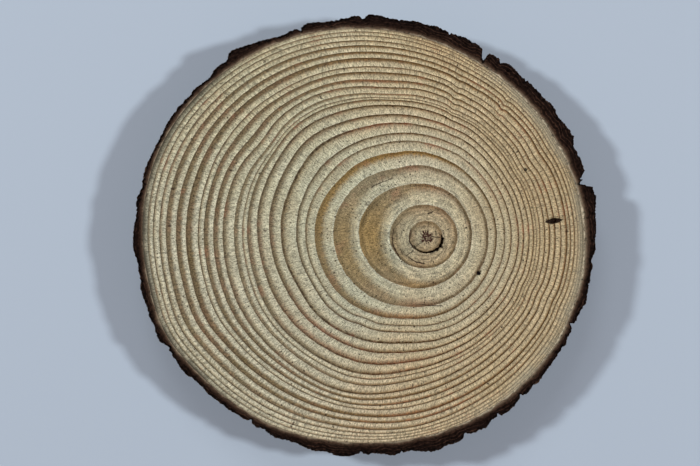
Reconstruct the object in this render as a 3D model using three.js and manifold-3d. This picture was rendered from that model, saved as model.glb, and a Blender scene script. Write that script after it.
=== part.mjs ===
// A round slice sawn across a pine trunk: pale wood with 24 growth rings round an off-centre pith,
// inside a ring of thin, flaky bark. It lies flat, with its broad face up.
// Millimetres, +Z up. The frame's origin is the middle of the underside, and +X points from the
// slice's middle towards the pith, where the growth rings are narrowest.
import * as THREE from 'three';
import { mergeVertices } from 'three/addons/utils/BufferGeometryUtils.js';
import Module from 'manifold-3d';

const THICKNESS = 10;        // sawn thickness of the slice
const BARK_GAP = 0.3;        // clearance between the wood and the bark's inner wall
const RING_RELIEF = 0.22;    // how far the soft early wood lies below the hard ring edges
const EARLY_SHARE = 0.14;    // share of a ring's width over which its inner edge drops
const WOOD_SECTORS = 96;     // facets round the wood
const BARK_SECTORS = 360;    // facets round the bark

// Outer edge of each year's ring, measured from the pith: on the broad side (180 degrees), where
// the leaning trunk laid down reaction wood, and on the narrow side (0 degrees). The last is the
// edge of the wood.
const RINGS = [
  [3.7, 3.6], [7.8, 6.8], [14.7, 9.9], [20.1, 13.4], [24.1, 15.2], [26.2, 17.0],
  [28.1, 18.4], [31.4, 20.0], [34.0, 21.1], [36.7, 22.3], [38.9, 23.3], [39.9, 23.9],
  [41.5, 24.7], [43.8, 25.8], [45.8, 26.9], [47.9, 28.1], [49.2, 29.4], [51.8, 30.7],
  [53.9, 31.5], [56.1, 32.4], [57.5, 33.1], [58.8, 33.6], [59.9, 34.0], [60.9, 34.3],
];

// A ring is an oval about its own centre: a share of its mean radius that it is longer than wide,
// and the direction of its long axis in degrees.
const OVAL_SHARE = 0.051;
const OVAL_DIRECTION = -5;
const ROUND_WITHIN = 12;     // mean radius below which the rings grow rounder towards the pith
const SIDEWAYS = 0.6;        // furthest that the rings' centres wander in Y, at half the wood's radius
const THREE_LOBED = -0.17;   // rise of the last ring in the directions 0, 120 and 240 degrees
const MEAN_WOOD_RADIUS = 45.3;

// Local swellings and dents in the rings, where twigs were overgrown:
// [direction in degrees, mean radius, rise, spread in degrees, spread in mm of mean radius].
const SWELLINGS = [
  [139, 25.5, 1.0, 9, 3.5], [245, 32, 1.3, 11, 4], [150, 33.5, -1.2, 5, 2.5],
  [105, 33, -0.8, 7, 3], [188, 28, -0.7, 10, 5], [202, 24, -0.7, 7, 2.5],
  [255, 23, -0.8, 12, 4], [200, 43, 0.7, 5, 5], [250, 44, -0.7, 14, 3],
  [68, 26, 0.5, 10, 4], [37, 36, -0.45, 4, 6], [75, 35, -0.5, 3, 6],
  [115, 16, -0.6, 10, 3], [333, 35, -0.35, 3, 8], [218, 46, -0.4, 9, 3],
  [161, 46, 0.6, 12, 3],
];

// Where the rings wander off those ovals, in the same form. These fade out under the bark, over
// the last few millimetres of mean radius.
const WANDERINGS = [
  [0, 24, 0.2, 60, 9], [60, 11.5, 0.5, 22, 2.5], [58, 21.5, 0.4, 24, 2.2], [100, 22, 0.5, 22, 1.8],
  [110, 28, 0.65, 26, 1.7], [125, 15, -0.4, 22, 3], [145, 18.7, -0.6, 10, 1.6],
  [215, 12.5, -0.65, 26, 2.5], [150, 36, 0.7, 7, 2.2], [150, 28, 0.3, 16, 2.2],
  [195, 33, 0.55, 18, 2.6], [222, 26, -0.4, 18, 1.2], [225, 30, 0.45, 18, 1.0],
  [230, 33, 0.8, 14, 1.2], [265, 34, 0.65, 16, 3], [265, 41, 0.5, 11, 2.5], [218, 40, -0.45, 14, 2],
  [95, 41, -0.35, 28, 2.5], [50, 36, -0.25, 18, 2.5], [285, 20, 0.4, 20, 5], [310, 15, 0.2, 25, 3],
  [325, 41.5, -0.25, 15, 2], [190, 24.5, 0.35, 22, 2], [129, 31.5, 0.35, 6, 1.8],
  [165, 30.3, -0.3, 10, 1.2], [120, 43.3, -0.35, 40, 1.2], [258, 43, 0.35, 9, 1.2],
  [233, 21.3, -0.5, 4, 1.5], [137, 22.1, -0.3, 6, 1.2],
];
const WANDER_FADE = 3;

// How far the bark reaches beyond the wood, as [direction in degrees, reach]. A steep change is the
// broken edge of a scale, and a short narrow dip is a chip or a fissure.
const BARK_REACH = [
  [0, 2.3], [3, 2.6], [7, 2.8], [10.5, 3.2], [12, 3.6], [14, 3.8], [15.5, 3.4], [17, 3.8],
  [18, 2.5], [19, 1.6], [22, 1.9], [23, 3.1], [27, 3.0], [32, 2.8], [34, 4.0], [36, 4.0],
  [39, 3.7], [41.5, 3.4], [43, 3.2], [45, 3.7], [47, 3.9], [50, 3.5], [53, 3.5], [56, 3.2],
  [60, 3.1], [63, 3.5], [65, 3.5], [67, 2.9], [68, 3.2], [71, 3.1], [71.6, 1.8], [72.4, 1.6],
  [73, 3.0], [75, 3.3], [78.5, 3.5], [84, 2.9], [87, 3.2], [90, 2.8], [92, 3.0], [98, 2.6],
  [101, 2.9], [104.5, 3.1], [105.5, 2.2], [106.5, 2.1], [107.2, 2.6], [110, 2.2], [115, 1.9],
  [119.5, 2.3], [121, 1.4], [122, 1.8], [125.5, 1.2], [128.5, 1.4], [132, 2.1], [135, 2.8],
  [137, 2.8], [137.7, 1.7], [141, 1.6], [143.5, 0.9], [146, 1.0], [147.5, 1.4], [149, 1.1],
  [154, 1.4], [160, 0.9], [163.5, 1.2], [168, 1.3], [170.5, 1.1], [172, 1.6], [176, 1.4],
  [178, 1.8], [182, 2.1], [185, 1.5], [188, 1.6], [191, 2.0], [195, 1.4], [196, 1.6],
  [198, 1.2], [201, 2.0], [202.5, 1.1], [206, 1.5], [207.5, 2.0], [209, 2.0], [213.5, 1.4],
  [216.5, 1.9], [218, 1.5], [220, 1.7], [223.5, 1.4], [225, 1.4], [226, 1.1], [228, 1.8],
  [230, 1.5], [232.5, 2.3], [236, 2.0], [238, 1.8], [242, 2.6], [245, 2.3], [247, 2.9],
  [250, 3.1], [253.5, 2.2], [254.6, 2.5], [256, 2.2], [258, 2.2], [260.5, 2.8], [263, 2.6],
  [266, 2.3], [269.5, 3.1], [272, 3.5], [274, 3.6], [275, 3.2], [280.3, 3.2], [281, 2.4],
  [284, 2.8], [288.7, 2.9], [289.5, 2.2], [292, 2.1], [293, 2.5], [298, 2.5], [301, 1.8],
  [303, 2.2], [306, 1.9], [307.5, 2.3], [310, 2.1], [314, 1.8], [317, 2.0], [323, 2.0],
  [326, 1.7], [327.5, 1.9], [329, 1.2], [331, 1.8], [335, 2.1], [338.5, 2.5], [341, 2.2],
  [346, 2.2], [349, 2.0], [353, 1.8], [355.5, 2.3],
];
const LEAST_REACH = 0.9;     // least reach of the bark beyond the wood, at any height

// Unevenness of the bark's outer surface: how far it stands out, the number of cells round the
// slice, and a cell's height.
const SCALES = { rise: 0.32, cellsRound: 44, cellHeight: 3.1, seed: 1 };
const FLAKES = { rise: 0.16, cellsRound: 130, cellHeight: 1.7, seed: 2 };
const CRUMBS = { rise: 0.22, cellsRound: 90, cellHeight: 1, seed: 5 };
const SAWN_BAND = 2.5;       // depth below the sawn face over which the scales begin to stand out
const SAWN_FLAKES = 0.2;     // share of the flakes that still shows at the sawn face
const FISSURE_LEAN = 0.1;    // degrees that the bark's fissures drift for each mm of height
const FLAKE_LEAN = 0.4;      // the same for the flakes on its scales

// The bark's cross-section from its inner wall (0) to its outer surface (1), against the height
// as a share of the slice's thickness. Its sawn faces round over into the broken outer edge.
const BARK_SECTION = [
  [0, 0], [0.86, 0], [0.98, 0.09], [1, 0.24], [0.98, 0.42], [1, 0.6], [1, 0.77],
  [1, 0.9], [0.93, 0.975], [0.5, 1], [0, 1], [0, 0],
];

// The ring shake: a crescent gap where the wood has parted along the first ring.
const SHAKE = { from: 215, to: 370, radius: 3.35, width: 0.75, widest: 0.7, depth: 4 };

// The grown-over twig: a slim pointed hollow lying along the radius.
const POCKET = { direction: 7.6, distance: 27.9, length: 3.9, width: 1.15, depth: 3 };

const radians = THREE.MathUtils.degToRad;

/** Signed angle from one direction to another, between -180 and 180 degrees. */
function turn(from, to) {
  return THREE.MathUtils.euclideanModulo(to - from + 180, 360) - 180;
}

/** How far the listed swellings lift a ring of a mean radius in a direction. */
function swellingAt(places, mean, direction) {
  let lift = 0;
  for (const [at, out, rise, spread, depth] of places) {
    const across = turn(at, direction) / spread;
    const along = (mean - out) / depth;
    lift += rise * Math.exp(-(across * across + along * along) / 2);
  }
  return lift;
}

/** Radius of one ring's outer edge in a direction, from the pith. Ring 0 is the pith itself. */
function ringRadius(ring, direction) {
  if (ring === 0) return 0;
  const [broad, narrow] = RINGS[ring - 1];
  const oval = OVAL_SHARE * Math.min((broad + narrow) / 2 / ROUND_WITHIN, 1);
  const mean = (broad + narrow) / 2 / (1 + oval);
  const lean = (broad - narrow) / 2;
  const age = mean / MEAN_WOOD_RADIUS;
  let radius = mean - lean * Math.cos(radians(direction));
  radius += oval * mean * Math.cos(2 * radians(direction - OVAL_DIRECTION));
  radius += SIDEWAYS * 4 * age * (1 - age) * Math.sin(radians(direction));
  radius += THREE_LOBED * age * age * Math.cos(3 * radians(direction));
  const fade = Math.min((MEAN_WOOD_RADIUS - mean) / WANDER_FADE, 1);
  return radius + swellingAt(SWELLINGS, mean, direction) + fade * swellingAt(WANDERINGS, mean, direction);
}

/** Radius at a growth coordinate: whole numbers are ring edges, and the rest lies between them. */
function growthRadius(growth, direction) {
  const inner = Math.min(Math.floor(growth), RINGS.length - 1);
  const low = ringRadius(inner, direction);
  const high = ringRadius(inner + 1, direction);
  return low + (high - low) * (growth - inner);
}

/** A repeatable number between -1 and 1 for a cell of a lattice. */
function cellValue(a, b, seed) {
  const s = Math.sin(a * 127.1 + b * 311.7 + seed * 74.7) * 43758.5453;
  return 2 * (s - Math.floor(s)) - 1;
}

/** Rise of one kind of unevenness round the slice and up its side, smooth between its cells. */
function unevenness({ rise, cellsRound, cellHeight, seed }, direction, height) {
  const across = THREE.MathUtils.euclideanModulo(direction / 360, 1) * cellsRound;
  const up = height / cellHeight;
  const a = Math.floor(across);
  const b = Math.floor(up);
  const fa = THREE.MathUtils.smoothstep(across - a, 0, 1);
  const fb = THREE.MathUtils.smoothstep(up - b, 0, 1);
  const corner = (i, j) => cellValue((a + i) % cellsRound, b + j, seed);
  const low = THREE.MathUtils.lerp(corner(0, 0), corner(1, 0), fa);
  const high = THREE.MathUtils.lerp(corner(0, 1), corner(1, 1), fa);
  return rise * THREE.MathUtils.lerp(low, high, fb);
}

/** The bark's reach at the sawn face, read between the listed points. */
function listedReach(direction) {
  const at = THREE.MathUtils.euclideanModulo(direction, 360);
  const last = BARK_REACH.length - 1;
  let index = last;
  while (index > 0 && BARK_REACH[index][0] > at) index -= 1;
  const [from, low] = BARK_REACH[index];
  const [to, high] = index === last ? [360, BARK_REACH[0][1]] : BARK_REACH[index + 1];
  return THREE.MathUtils.mapLinear(at, from, to, low, high);
}

/** The bark's reach at a height: fissures lean a little, and scales stand out between them. */
function barkReach(direction, height) {
  const below = THICKNESS - height;
  const listed = listedReach(direction + FISSURE_LEAN * below);
  const scales = unevenness(SCALES, direction, height);
  const flakes = unevenness(FLAKES, direction + FLAKE_LEAN * height, height);
  const share = Math.min(below / SAWN_BAND, 1);      // the sawn edge keeps the listed outline
  const reach = listed + share * (scales + flakes) + SAWN_FLAKES * (1 - share) * flakes;
  return Math.max(reach, LEAST_REACH);
}

/**
 * Turns a profile of [coordinate, height] points round the pith, and sets each vertex's distance
 * from the pith and its height by the given rule.
 */
function turned(profile, sectors, place) {
  const points = profile.map(([coordinate, height]) => new THREE.Vector2(coordinate, height));
  const geometry = new THREE.LatheGeometry(points, sectors);
  const position = geometry.getAttribute('position');
  for (let sector = 0; sector <= sectors; sector += 1) {
    const direction = (360 * (sector % sectors)) / sectors;
    profile.forEach(([coordinate, height], index) => {
      const [radius, level] = place(coordinate, height, direction);
      const angle = radians(direction);
      const vertex = sector * profile.length + index;
      position.setXYZ(vertex, radius * Math.cos(angle), radius * Math.sin(angle), level);
    });
  }
  geometry.deleteAttribute('normal');
  geometry.deleteAttribute('uv');
  return mergeVertices(geometry, 1e-4);
}

const wasm = await Module();
wasm.setup();

/** A closed geometry as a solid that can be cut. */
function solidOf(geometry) {
  const bare = new THREE.BufferGeometry();
  bare.setAttribute('position', geometry.getAttribute('position'));
  if (geometry.index) bare.setIndex(geometry.index);
  const merged = mergeVertices(bare, 1e-4);
  return new wasm.Manifold(new wasm.Mesh({
    numProp: 3,
    vertProperties: merged.getAttribute('position').array,
    triVerts: new Uint32Array(merged.index.array),
  }));
}

/** The geometry of a cut solid. */
function geometryOf(solid) {
  const mesh = solid.getMesh();
  const geometry = new THREE.BufferGeometry();
  geometry.setAttribute('position', new THREE.BufferAttribute(mesh.vertProperties, 3));
  geometry.setIndex(new THREE.BufferAttribute(mesh.triVerts, 1));
  geometry.computeVertexNormals();
  return geometry;
}

/** The crescent gap along the first ring, to be cut out of the wood. */
function shakeCutter() {
  const steps = 22;
  const inner = [];
  const outer = [];
  for (let step = 0; step <= steps; step += 1) {
    const share = step / steps;
    const fall = share < SHAKE.widest
      ? share / SHAKE.widest
      : (1 - share) / (1 - SHAKE.widest);
    const half = SHAKE.width * (0.1 + 0.9 * fall * fall) / 2;
    const angle = radians(THREE.MathUtils.lerp(SHAKE.from, SHAKE.to, share));
    const direct = new THREE.Vector2(Math.cos(angle), Math.sin(angle));
    inner.push(direct.clone().multiplyScalar(SHAKE.radius - half));
    outer.push(direct.clone().multiplyScalar(SHAKE.radius + half));
  }
  const shape = new THREE.Shape([...outer, ...inner.reverse()]);
  const above = 1;
  const cutter = new THREE.ExtrudeGeometry(shape, {
    depth: SHAKE.depth + above, bevelEnabled: false,
  });
  return cutter.translate(0, 0, THICKNESS - SHAKE.depth);
}

/** The slim pointed hollow of the grown-over twig. */
function pocketCutter() {
  const cutter = new THREE.SphereGeometry(1, 16, 12);
  cutter.scale(POCKET.length / 2, POCKET.width / 2, POCKET.depth);
  cutter.translate(POCKET.distance, 0, THICKNESS);
  return cutter.rotateZ(radians(POCKET.direction));
}

/** The wood: a flat underside, and a top face with a low step at every growth ring. */
function woodGeometry() {
  const edge = RINGS.length;
  const profile = [[0, 0], [edge, 0], [edge, THICKNESS]];
  for (let ring = edge - 1; ring > 0; ring -= 1) {
    profile.push([ring + EARLY_SHARE, THICKNESS - RING_RELIEF]);
    profile.push([ring, THICKNESS]);
  }
  profile.push([0, THICKNESS]);
  const place = (growth, height, direction) => [growthRadius(growth, direction), height];
  return turned(profile, WOOD_SECTORS, place);
}

/** The bark: a ring of uneven thickness that stands out in scales between its fissures. */
function barkGeometry() {
  const place = (depth, share, direction) => {
    const height = share * THICKNESS;
    const edge = growthRadius(RINGS.length, direction);
    const reach = THREE.MathUtils.lerp(BARK_GAP, barkReach(direction, height), depth);
    const crumbled = depth > 0 && height > THICKNESS - 1;
    const lowered = crumbled ? CRUMBS.rise + unevenness(CRUMBS, direction, 0) : 0;
    return [edge + reach, height - lowered];
  };
  return turned(BARK_SECTION, BARK_SECTORS, place);
}

/** One named piece in its own colour. */
function piece(name, geometry, colour, roughness) {
  const material = new THREE.MeshStandardMaterial({ color: colour, roughness, metalness: 0 });
  const mesh = new THREE.Mesh(geometry, material);
  mesh.name = name;
  return mesh;
}

/** The whole slice, with the middle of its underside moved to the origin. */
function woodSlice() {
  const wood = solidOf(woodGeometry())
    .subtract(solidOf(shakeCutter()))
    .subtract(solidOf(pocketCutter()));
  const slice = new THREE.Group();
  slice.add(piece('wood', geometryOf(wood), 0xbcab82, 0.75));
  slice.add(piece('bark', barkGeometry(), 0x3a271d, 0.9));
  const middle = new THREE.Box3().setFromObject(slice).getCenter(new THREE.Vector3());
  slice.position.set(-middle.x, -middle.y, 0);
  return slice;
}

export default woodSlice();
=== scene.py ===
"""A slice sawn across a pine trunk, lying face up on a pale floor and seen from straight above."""

import math

import bmesh
import bpy
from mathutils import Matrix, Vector, noise
from mathutils.bvhtree import BVHTree


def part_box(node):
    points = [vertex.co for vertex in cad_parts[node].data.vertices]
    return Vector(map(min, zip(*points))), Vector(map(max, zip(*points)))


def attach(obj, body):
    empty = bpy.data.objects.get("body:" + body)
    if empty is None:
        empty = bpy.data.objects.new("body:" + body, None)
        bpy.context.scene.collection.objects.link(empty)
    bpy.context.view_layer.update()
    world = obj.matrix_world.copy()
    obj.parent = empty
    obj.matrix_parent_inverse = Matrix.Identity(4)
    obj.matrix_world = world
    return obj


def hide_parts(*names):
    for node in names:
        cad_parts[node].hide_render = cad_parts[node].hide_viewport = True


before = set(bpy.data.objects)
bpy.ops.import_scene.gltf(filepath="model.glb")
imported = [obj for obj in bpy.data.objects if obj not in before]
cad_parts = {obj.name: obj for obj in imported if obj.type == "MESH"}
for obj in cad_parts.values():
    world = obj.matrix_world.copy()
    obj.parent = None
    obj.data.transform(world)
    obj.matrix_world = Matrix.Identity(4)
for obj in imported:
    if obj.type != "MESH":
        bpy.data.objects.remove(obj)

bl_info = {
    "name": "Wood slice",
    "version": (1, 0, 0),
    "blender": (4, 5, 0),
    "location": "View3D > Sidebar > Wood slice",
    "description": "Builds the sawn wood, its bark and the floor and lights around them",
    "category": "Object",
}

MM = 0.001
BODY = "root"

# Outer edge of each year's ring in mm from the pith, on the broad and on the narrow side, with the
# share of its width that is dark late wood and how dark that is. The last edge is the wood's.
RINGS = [
    (3.7, 3.6, 0.30, 0.55), (7.8, 6.8, 0.34, 0.55), (14.7, 9.9, 0.30, 0.50),
    (20.1, 13.4, 0.26, 0.45), (24.1, 15.2, 0.36, 0.72), (26.2, 17.0, 0.22, 0.45),
    (28.1, 18.4, 0.30, 0.70), (31.4, 20.0, 0.28, 0.65), (34.0, 21.1, 0.35, 0.82),
    (36.7, 22.3, 0.33, 0.72), (38.9, 23.3, 0.36, 0.75), (39.9, 23.9, 0.28, 0.45),
    (41.5, 24.7, 0.40, 0.68), (43.8, 25.8, 0.34, 0.72), (45.8, 26.9, 0.43, 0.90),
    (47.9, 28.1, 0.40, 0.92), (49.2, 29.4, 0.28, 0.55), (51.8, 30.7, 0.43, 1.00),
    (53.9, 31.5, 0.43, 0.95), (56.1, 32.4, 0.40, 0.90), (57.5, 33.1, 0.33, 0.65),
    (58.8, 33.6, 0.25, 0.40), (59.9, 34.0, 0.33, 0.45), (60.9, 34.3, 0.12, 0.18),
]
# How oval the rings are, along which direction in degrees, and the mean radius in mm within which they
# are rounder. Then how far in mm the middle rings lie to one side, how three-lobed the wood's edge is,
# and its mean radius in mm.
OVAL_SHARE = 0.051
OVAL_DIRECTION = -5
ROUND_WITHIN = 12
SIDEWAYS = 0.6
THREE_LOBED = -0.17
MEAN_WOOD_RADIUS = 45.3
# Swellings and dents over old twigs: direction, mean radius and rise, then the spread in degrees and in mm.
SWELLINGS = [
    (139, 25.5, 1.0, 9, 3.5), (245, 32, 1.3, 11, 4), (150, 33.5, -1.2, 5, 2.5),
    (105, 33, -0.8, 7, 3), (188, 28, -0.7, 10, 5), (202, 24, -0.7, 7, 2.5),
    (255, 23, -0.8, 12, 4), (200, 43, 0.7, 5, 5), (250, 44, -0.7, 14, 3),
    (68, 26, 0.5, 10, 4), (37, 36, -0.45, 4, 6), (75, 35, -0.5, 3, 6),
    (115, 16, -0.6, 10, 3), (333, 35, -0.35, 3, 8), (218, 46, -0.4, 9, 3),
    (161, 46, 0.6, 12, 3),
]
# Where the inner rings wander, in the same form. It fades out towards the wood's edge.
WANDERINGS = [
    (0, 24, 0.2, 60, 9), (60, 11.5, 0.5, 22, 2.5), (58, 21.5, 0.4, 24, 2.2), (100, 22, 0.5, 22, 1.8),
    (110, 28, 0.65, 26, 1.7), (125, 15, -0.4, 22, 3), (145, 18.7, -0.6, 10, 1.6), (215, 12.5, -0.65, 26, 2.5),
    (150, 36, 0.7, 7, 2.2), (150, 28, 0.3, 16, 2.2), (195, 33, 0.55, 18, 2.6), (222, 26, -0.4, 18, 1.2),
    (225, 30, 0.45, 18, 1.0), (230, 33, 0.8, 14, 1.2), (265, 34, 0.65, 16, 3), (265, 41, 0.5, 11, 2.5),
    (218, 40, -0.45, 14, 2), (95, 41, -0.35, 28, 2.5), (50, 36, -0.25, 18, 2.5), (285, 20, 0.4, 20, 5),
    (310, 15, 0.2, 25, 3), (325, 41.5, -0.25, 15, 2), (190, 24.5, 0.35, 22, 2), (129, 31.5, 0.35, 6, 1.8),
    (165, 30.3, -0.3, 10, 1.2), (120, 43.3, -0.35, 40, 1.2), (258, 43, 0.35, 9, 1.2),
    (233, 21.3, -0.5, 4, 1.5), (137, 22.1, -0.3, 6, 1.2), (75, 36, 0.3, 2, 5), (78.3, 34, -0.35, 1.2, 4),
    (59.7, 40, -0.45, 0.8, 3),
]
# The mean radius in mm over which it fades, and the squared distance at which a swelling ends.
WANDER_FADE = 3
SWELLING_ENDS = 20
# Chips in the sawn edge of the bark: direction, half width in degrees, depth in mm.
CHIPS = [
    (72.3, 0.75, 1.2), (66.8, 0.5, 0.4), (19.6, 0.5, 0.5), (20.9, 0.25, 0.5), (57.6, 0.4, 0.4),
    (83.4, 0.3, 0.4), (121.2, 0.35, 0.5), (105.9, 0.5, 0.35), (169.2, 0.3, 0.3), (202.9, 0.5, 0.4),
    (226.2, 0.3, 0.4), (253.2, 0.4, 0.5), (263.5, 0.3, 0.4), (281.4, 0.5, 0.4), (292.2, 0.3, 0.5),
    (301.0, 0.35, 0.4), (329.4, 0.4, 0.5), (344.2, 0.3, 0.3),
]
# Amber reaction wood: ring, direction, spread in degrees, strength.
AMBER = [
    (3, 178, 45, 1.0), (4, 190, 42, 0.8), (5, 150, 50, 0.8), (5, 95, 30, 0.9), (3, 90, 18, 0.5),
    (3, 262, 25, 0.6), (2, 200, 60, 0.3), (6, 170, 40, 0.3), (8, 165, 40, 0.3), (5, 250, 40, 0.4),
]
# Reddish resin stains, in the same form.
BLUSH = [
    (8, 114, 12, 1.0), (9, 82, 10, 0.8), (9, 220, 16, 0.9), (10, 225, 22, 0.8), (10, 262, 14, 0.9),
    (15, 109, 10, 1.0), (16, 262, 6, 1.0), (18, 262, 6, 0.9), (19, 70, 6, 0.9), (19, 276, 7, 1.0),
    (2, 60, 35, 0.7), (4, 262, 14, 0.8), (5, 255, 16, 0.7), (3, 80, 18, 0.6), (6, 45, 18, 0.6),
    (12, 250, 10, 0.5), (17, 59, 2, 0.9), (18, 60, 2, 0.9), (19, 60, 2, 0.7), (21, 161, 3, 0.8),
    (11, 262, 12, 0.5), (13, 100, 10, 0.5),
]
# Loops across one ring, as (share of its width, depth in mm below the ring's hard edge), and the share
# of that depth that the underside has.
RING_LOOPS = [(0.0, 0.0), (0.05, 0.10), (0.14, 0.22), (0.38, 0.17), (0.65, 0.07), (0.86, 0.01)]
UNDERSIDE_RELIEF = 0.6
# More loops, across the pith and across the crescent gap, in years of growth.
PITH_LOOPS = [0.09, 0.18, 0.27, 0.36, 0.45, 0.54, 0.63]
SHAKE_LOOPS = [0.74, 0.78, 0.82, 0.85, 0.88, 0.91, 0.94, 0.97, 1.02, 1.05, 1.09]
# The crescent gap along the first ring: where its tail starts and how far it runs in degrees, where it
# ends in years of growth, and its radius in mm.
SHAKE_START = 212
SHAKE_RUN = 160
SHAKE_YEARS = 1.3
SHAKE_RADIUS = 3.15
# The overgrown twig's hollow in mm, how pointed its ends are, and how far its painted shade reaches past it.
HOLLOW_HALF_LENGTH = 1.9
HOLLOW_HALF_WIDTH = 0.6
HOLLOW_DEPTH = 1.7
HOLLOW_POWER = 1.4
HOLLOW_SHADE_REACH = (0.05, 0.02)
# Height in mm of the lumps that the saw left on the wood.
SAW_ROUGHNESS = 0.03
# Where the bark's profile starts before it is fitted, and how far it reaches into the wood in mm.
BARK_START = 100
BARK_OVERLAP = 0.02
# Share of the height above which the saw has frayed the bark's wall.
FRAYED_FROM = 0.86
# Bark plates to each mm, along X, Y and Z.
PLATES = (0.19, 0.19, 0.26)
# A distance from the pith in mm that is outside the slice, and how near spun vertices lie when they meet.
OUTSIDE = 90
MERGE_DISTANCE = 1e-5

# Colours of early wood, late wood, sawn bark and the bark's skin along their ramps. The first two are
# factors on the colours in the settings.
EARLY_TONES = [
    (0.32, (0.9565217, 0.8720930, 0.8166667)), (0.5, (1, 1, 1)), (0.66, (1.0326087, 1.0465116, 1.1)),
]
LATE_TONES = [
    (0.3, (0.8765432, 0.85, 0.7575758)), (0.5, (1, 1, 1)), (0.7, (1.1111111, 0.9166667, 0.9696970)),
]
SAWN_BARK = [
    (0.02, (0.37, 0.31, 0.22)), (0.10, (0.215, 0.165, 0.115)), (0.19, (0.095, 0.063, 0.042)),
    (0.30, (0.042, 0.024, 0.016)), (0.46, (0.011, 0.0055, 0.004)), (0.9, (0.008, 0.0042, 0.0034)),
]
BARK_SKIN = [(0.3, (0.018, 0.011, 0.008)), (0.5, (0.042, 0.024, 0.016)), (0.7, (0.100, 0.056, 0.036))]

# Half the floor's width, its level just under the slice, and the camera's near limit, in metres.
FLOOR_SIZE = 3
FLOOR_LEVEL = -0.00002
CLIP_START = 0.01


def turn(start, end):
    """Signed angle in degrees from one direction to another."""
    return (end - start + 180) % 360 - 180


def ring_radius(ring, direction):
    """Radius in mm of a ring's outer edge in a direction in degrees."""
    if ring == 0:
        return 0.0
    broad, narrow = RINGS[ring - 1][:2]
    oval = OVAL_SHARE * min((broad + narrow) / 2 / ROUND_WITHIN, 1)
    mean = (broad + narrow) / 2 / (1 + oval)
    age = mean / MEAN_WOOD_RADIUS
    angle = math.radians(direction)
    radius = mean - (broad - narrow) / 2 * math.cos(angle)
    radius += oval * mean * math.cos(2 * math.radians(direction - OVAL_DIRECTION))
    radius += SIDEWAYS * 4 * age * (1 - age) * math.sin(angle)
    radius += THREE_LOBED * age * age * math.cos(3 * angle)
    fade = min((MEAN_WOOD_RADIUS - mean) / WANDER_FADE, 1)
    for share, places in ((1, SWELLINGS), (fade, WANDERINGS)):
        for at, out, rise, across, along in places:
            far = (turn(at, direction) / across) ** 2 + ((mean - out) / along) ** 2
            if far < SWELLING_ENDS:
                radius += share * rise * math.exp(-far / 2)
    return radius


def wood_edge(direction):
    """Radius in mm of the wood's edge in a direction in degrees."""
    return ring_radius(len(RINGS), direction)


def pith_place():
    """Where the pith stands in the row frame, in mm, from the CAD wood's box."""
    edge = [(wood_edge(d / 2), math.radians(d / 2)) for d in range(720)]
    xs = [r * math.cos(a) for r, a in edge]
    ys = [r * math.sin(a) for r, a in edge]
    low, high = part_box("wood")
    middle = (low + high) / 2 / MM
    return Vector((middle.x - (min(xs) + max(xs)) / 2, middle.y - (min(ys) + max(ys)) / 2, 0))


PITH = pith_place()


def smooth(low, high, value):
    """Smoothly from 0 at low to 1 at high, and flat beyond. Low may be the greater."""
    share = min(max((value - low) / (high - low), 0.0), 1.0)
    return share * share * (3 - 2 * share)


def fractal(x, y, z, octaves=3):
    """Layered noise between about -1 and 1."""
    total, size, weight = 0.0, 1.0, 0.6
    for _ in range(octaves):
        total += weight * noise.noise(Vector((x, y, z)) * size)
        size *= 2.1
        weight *= 0.5
    return total


def spun(profile, steps):
    """A bmesh of a closed or axis-to-axis profile turned about Z, with (r, height) in plain units."""
    bm = bmesh.new()
    verts = [bm.verts.new((r, 0, height)) for r, height in profile]
    edges = [bm.edges.new(pair) for pair in zip(verts, verts[1:])]
    if profile[0][0] > 0:
        edges.append(bm.edges.new((verts[-1], verts[0])))
    bmesh.ops.spin(
        bm, geom=verts + edges, cent=(0, 0, 0), axis=(0, 0, 1), angle=2 * math.pi, steps=steps,
        use_merge=True, use_duplicate=False,
    )
    bmesh.ops.remove_doubles(bm, verts=bm.verts, dist=MERGE_DISTANCE)
    return bm


def spun_place(vert, steps):
    """A spun vertex's distance from the axis, its sector, and the sector's direction in degrees."""
    sector = round(math.atan2(vert.co.y, vert.co.x) / (2 * math.pi) * steps) % steps
    return math.hypot(vert.co.x, vert.co.y), sector, 360 * sector / steps


def float_layers(bm, names):
    """New float attributes of the vertices, by name."""
    return {name: bm.verts.layers.float.new(name) for name in names}


def finished(bm, name, node, material):
    """Makes a piece that rides on the one body and stands for a CAD node."""
    bmesh.ops.recalc_face_normals(bm, faces=bm.faces)
    mesh = bpy.data.meshes.new(name)
    bm.to_mesh(mesh)
    bm.free()
    mesh.materials.append(material)
    mesh.shade_smooth()
    piece = bpy.data.objects.new(name, mesh)
    bpy.context.scene.collection.objects.link(piece)
    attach(piece, BODY)
    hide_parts(node)


def late_share(ring, direction):
    """Share of a ring's width that is late wood: more on the broad side."""
    broad = (1 - math.cos(math.radians(direction))) / 2
    share = RINGS[ring - 1][2] * (0.86 + 0.38 * broad ** 2)
    if ring in (3, 4):
        share += 0.38 * broad ** 3
    return share


def ring_darkness(ring, direction):
    """How dark a ring's late wood is: the last few are faint at the lower right."""
    faint = smooth(0.3, 1.0, (math.cos(math.radians(direction - 300)) + 1) / 2)
    return RINGS[ring - 1][3] * (1 - 0.6 * faint * smooth(19, 22, ring))


def stained(places, ring, direction):
    """How strongly the listed places stain a ring's late wood in a direction."""
    total = 0.0
    for at_ring, at, spread, strength in places:
        if at_ring == ring:
            total += strength * math.exp(-((turn(at, direction) / spread) ** 2))
    return min(total, 1.0)


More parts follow.
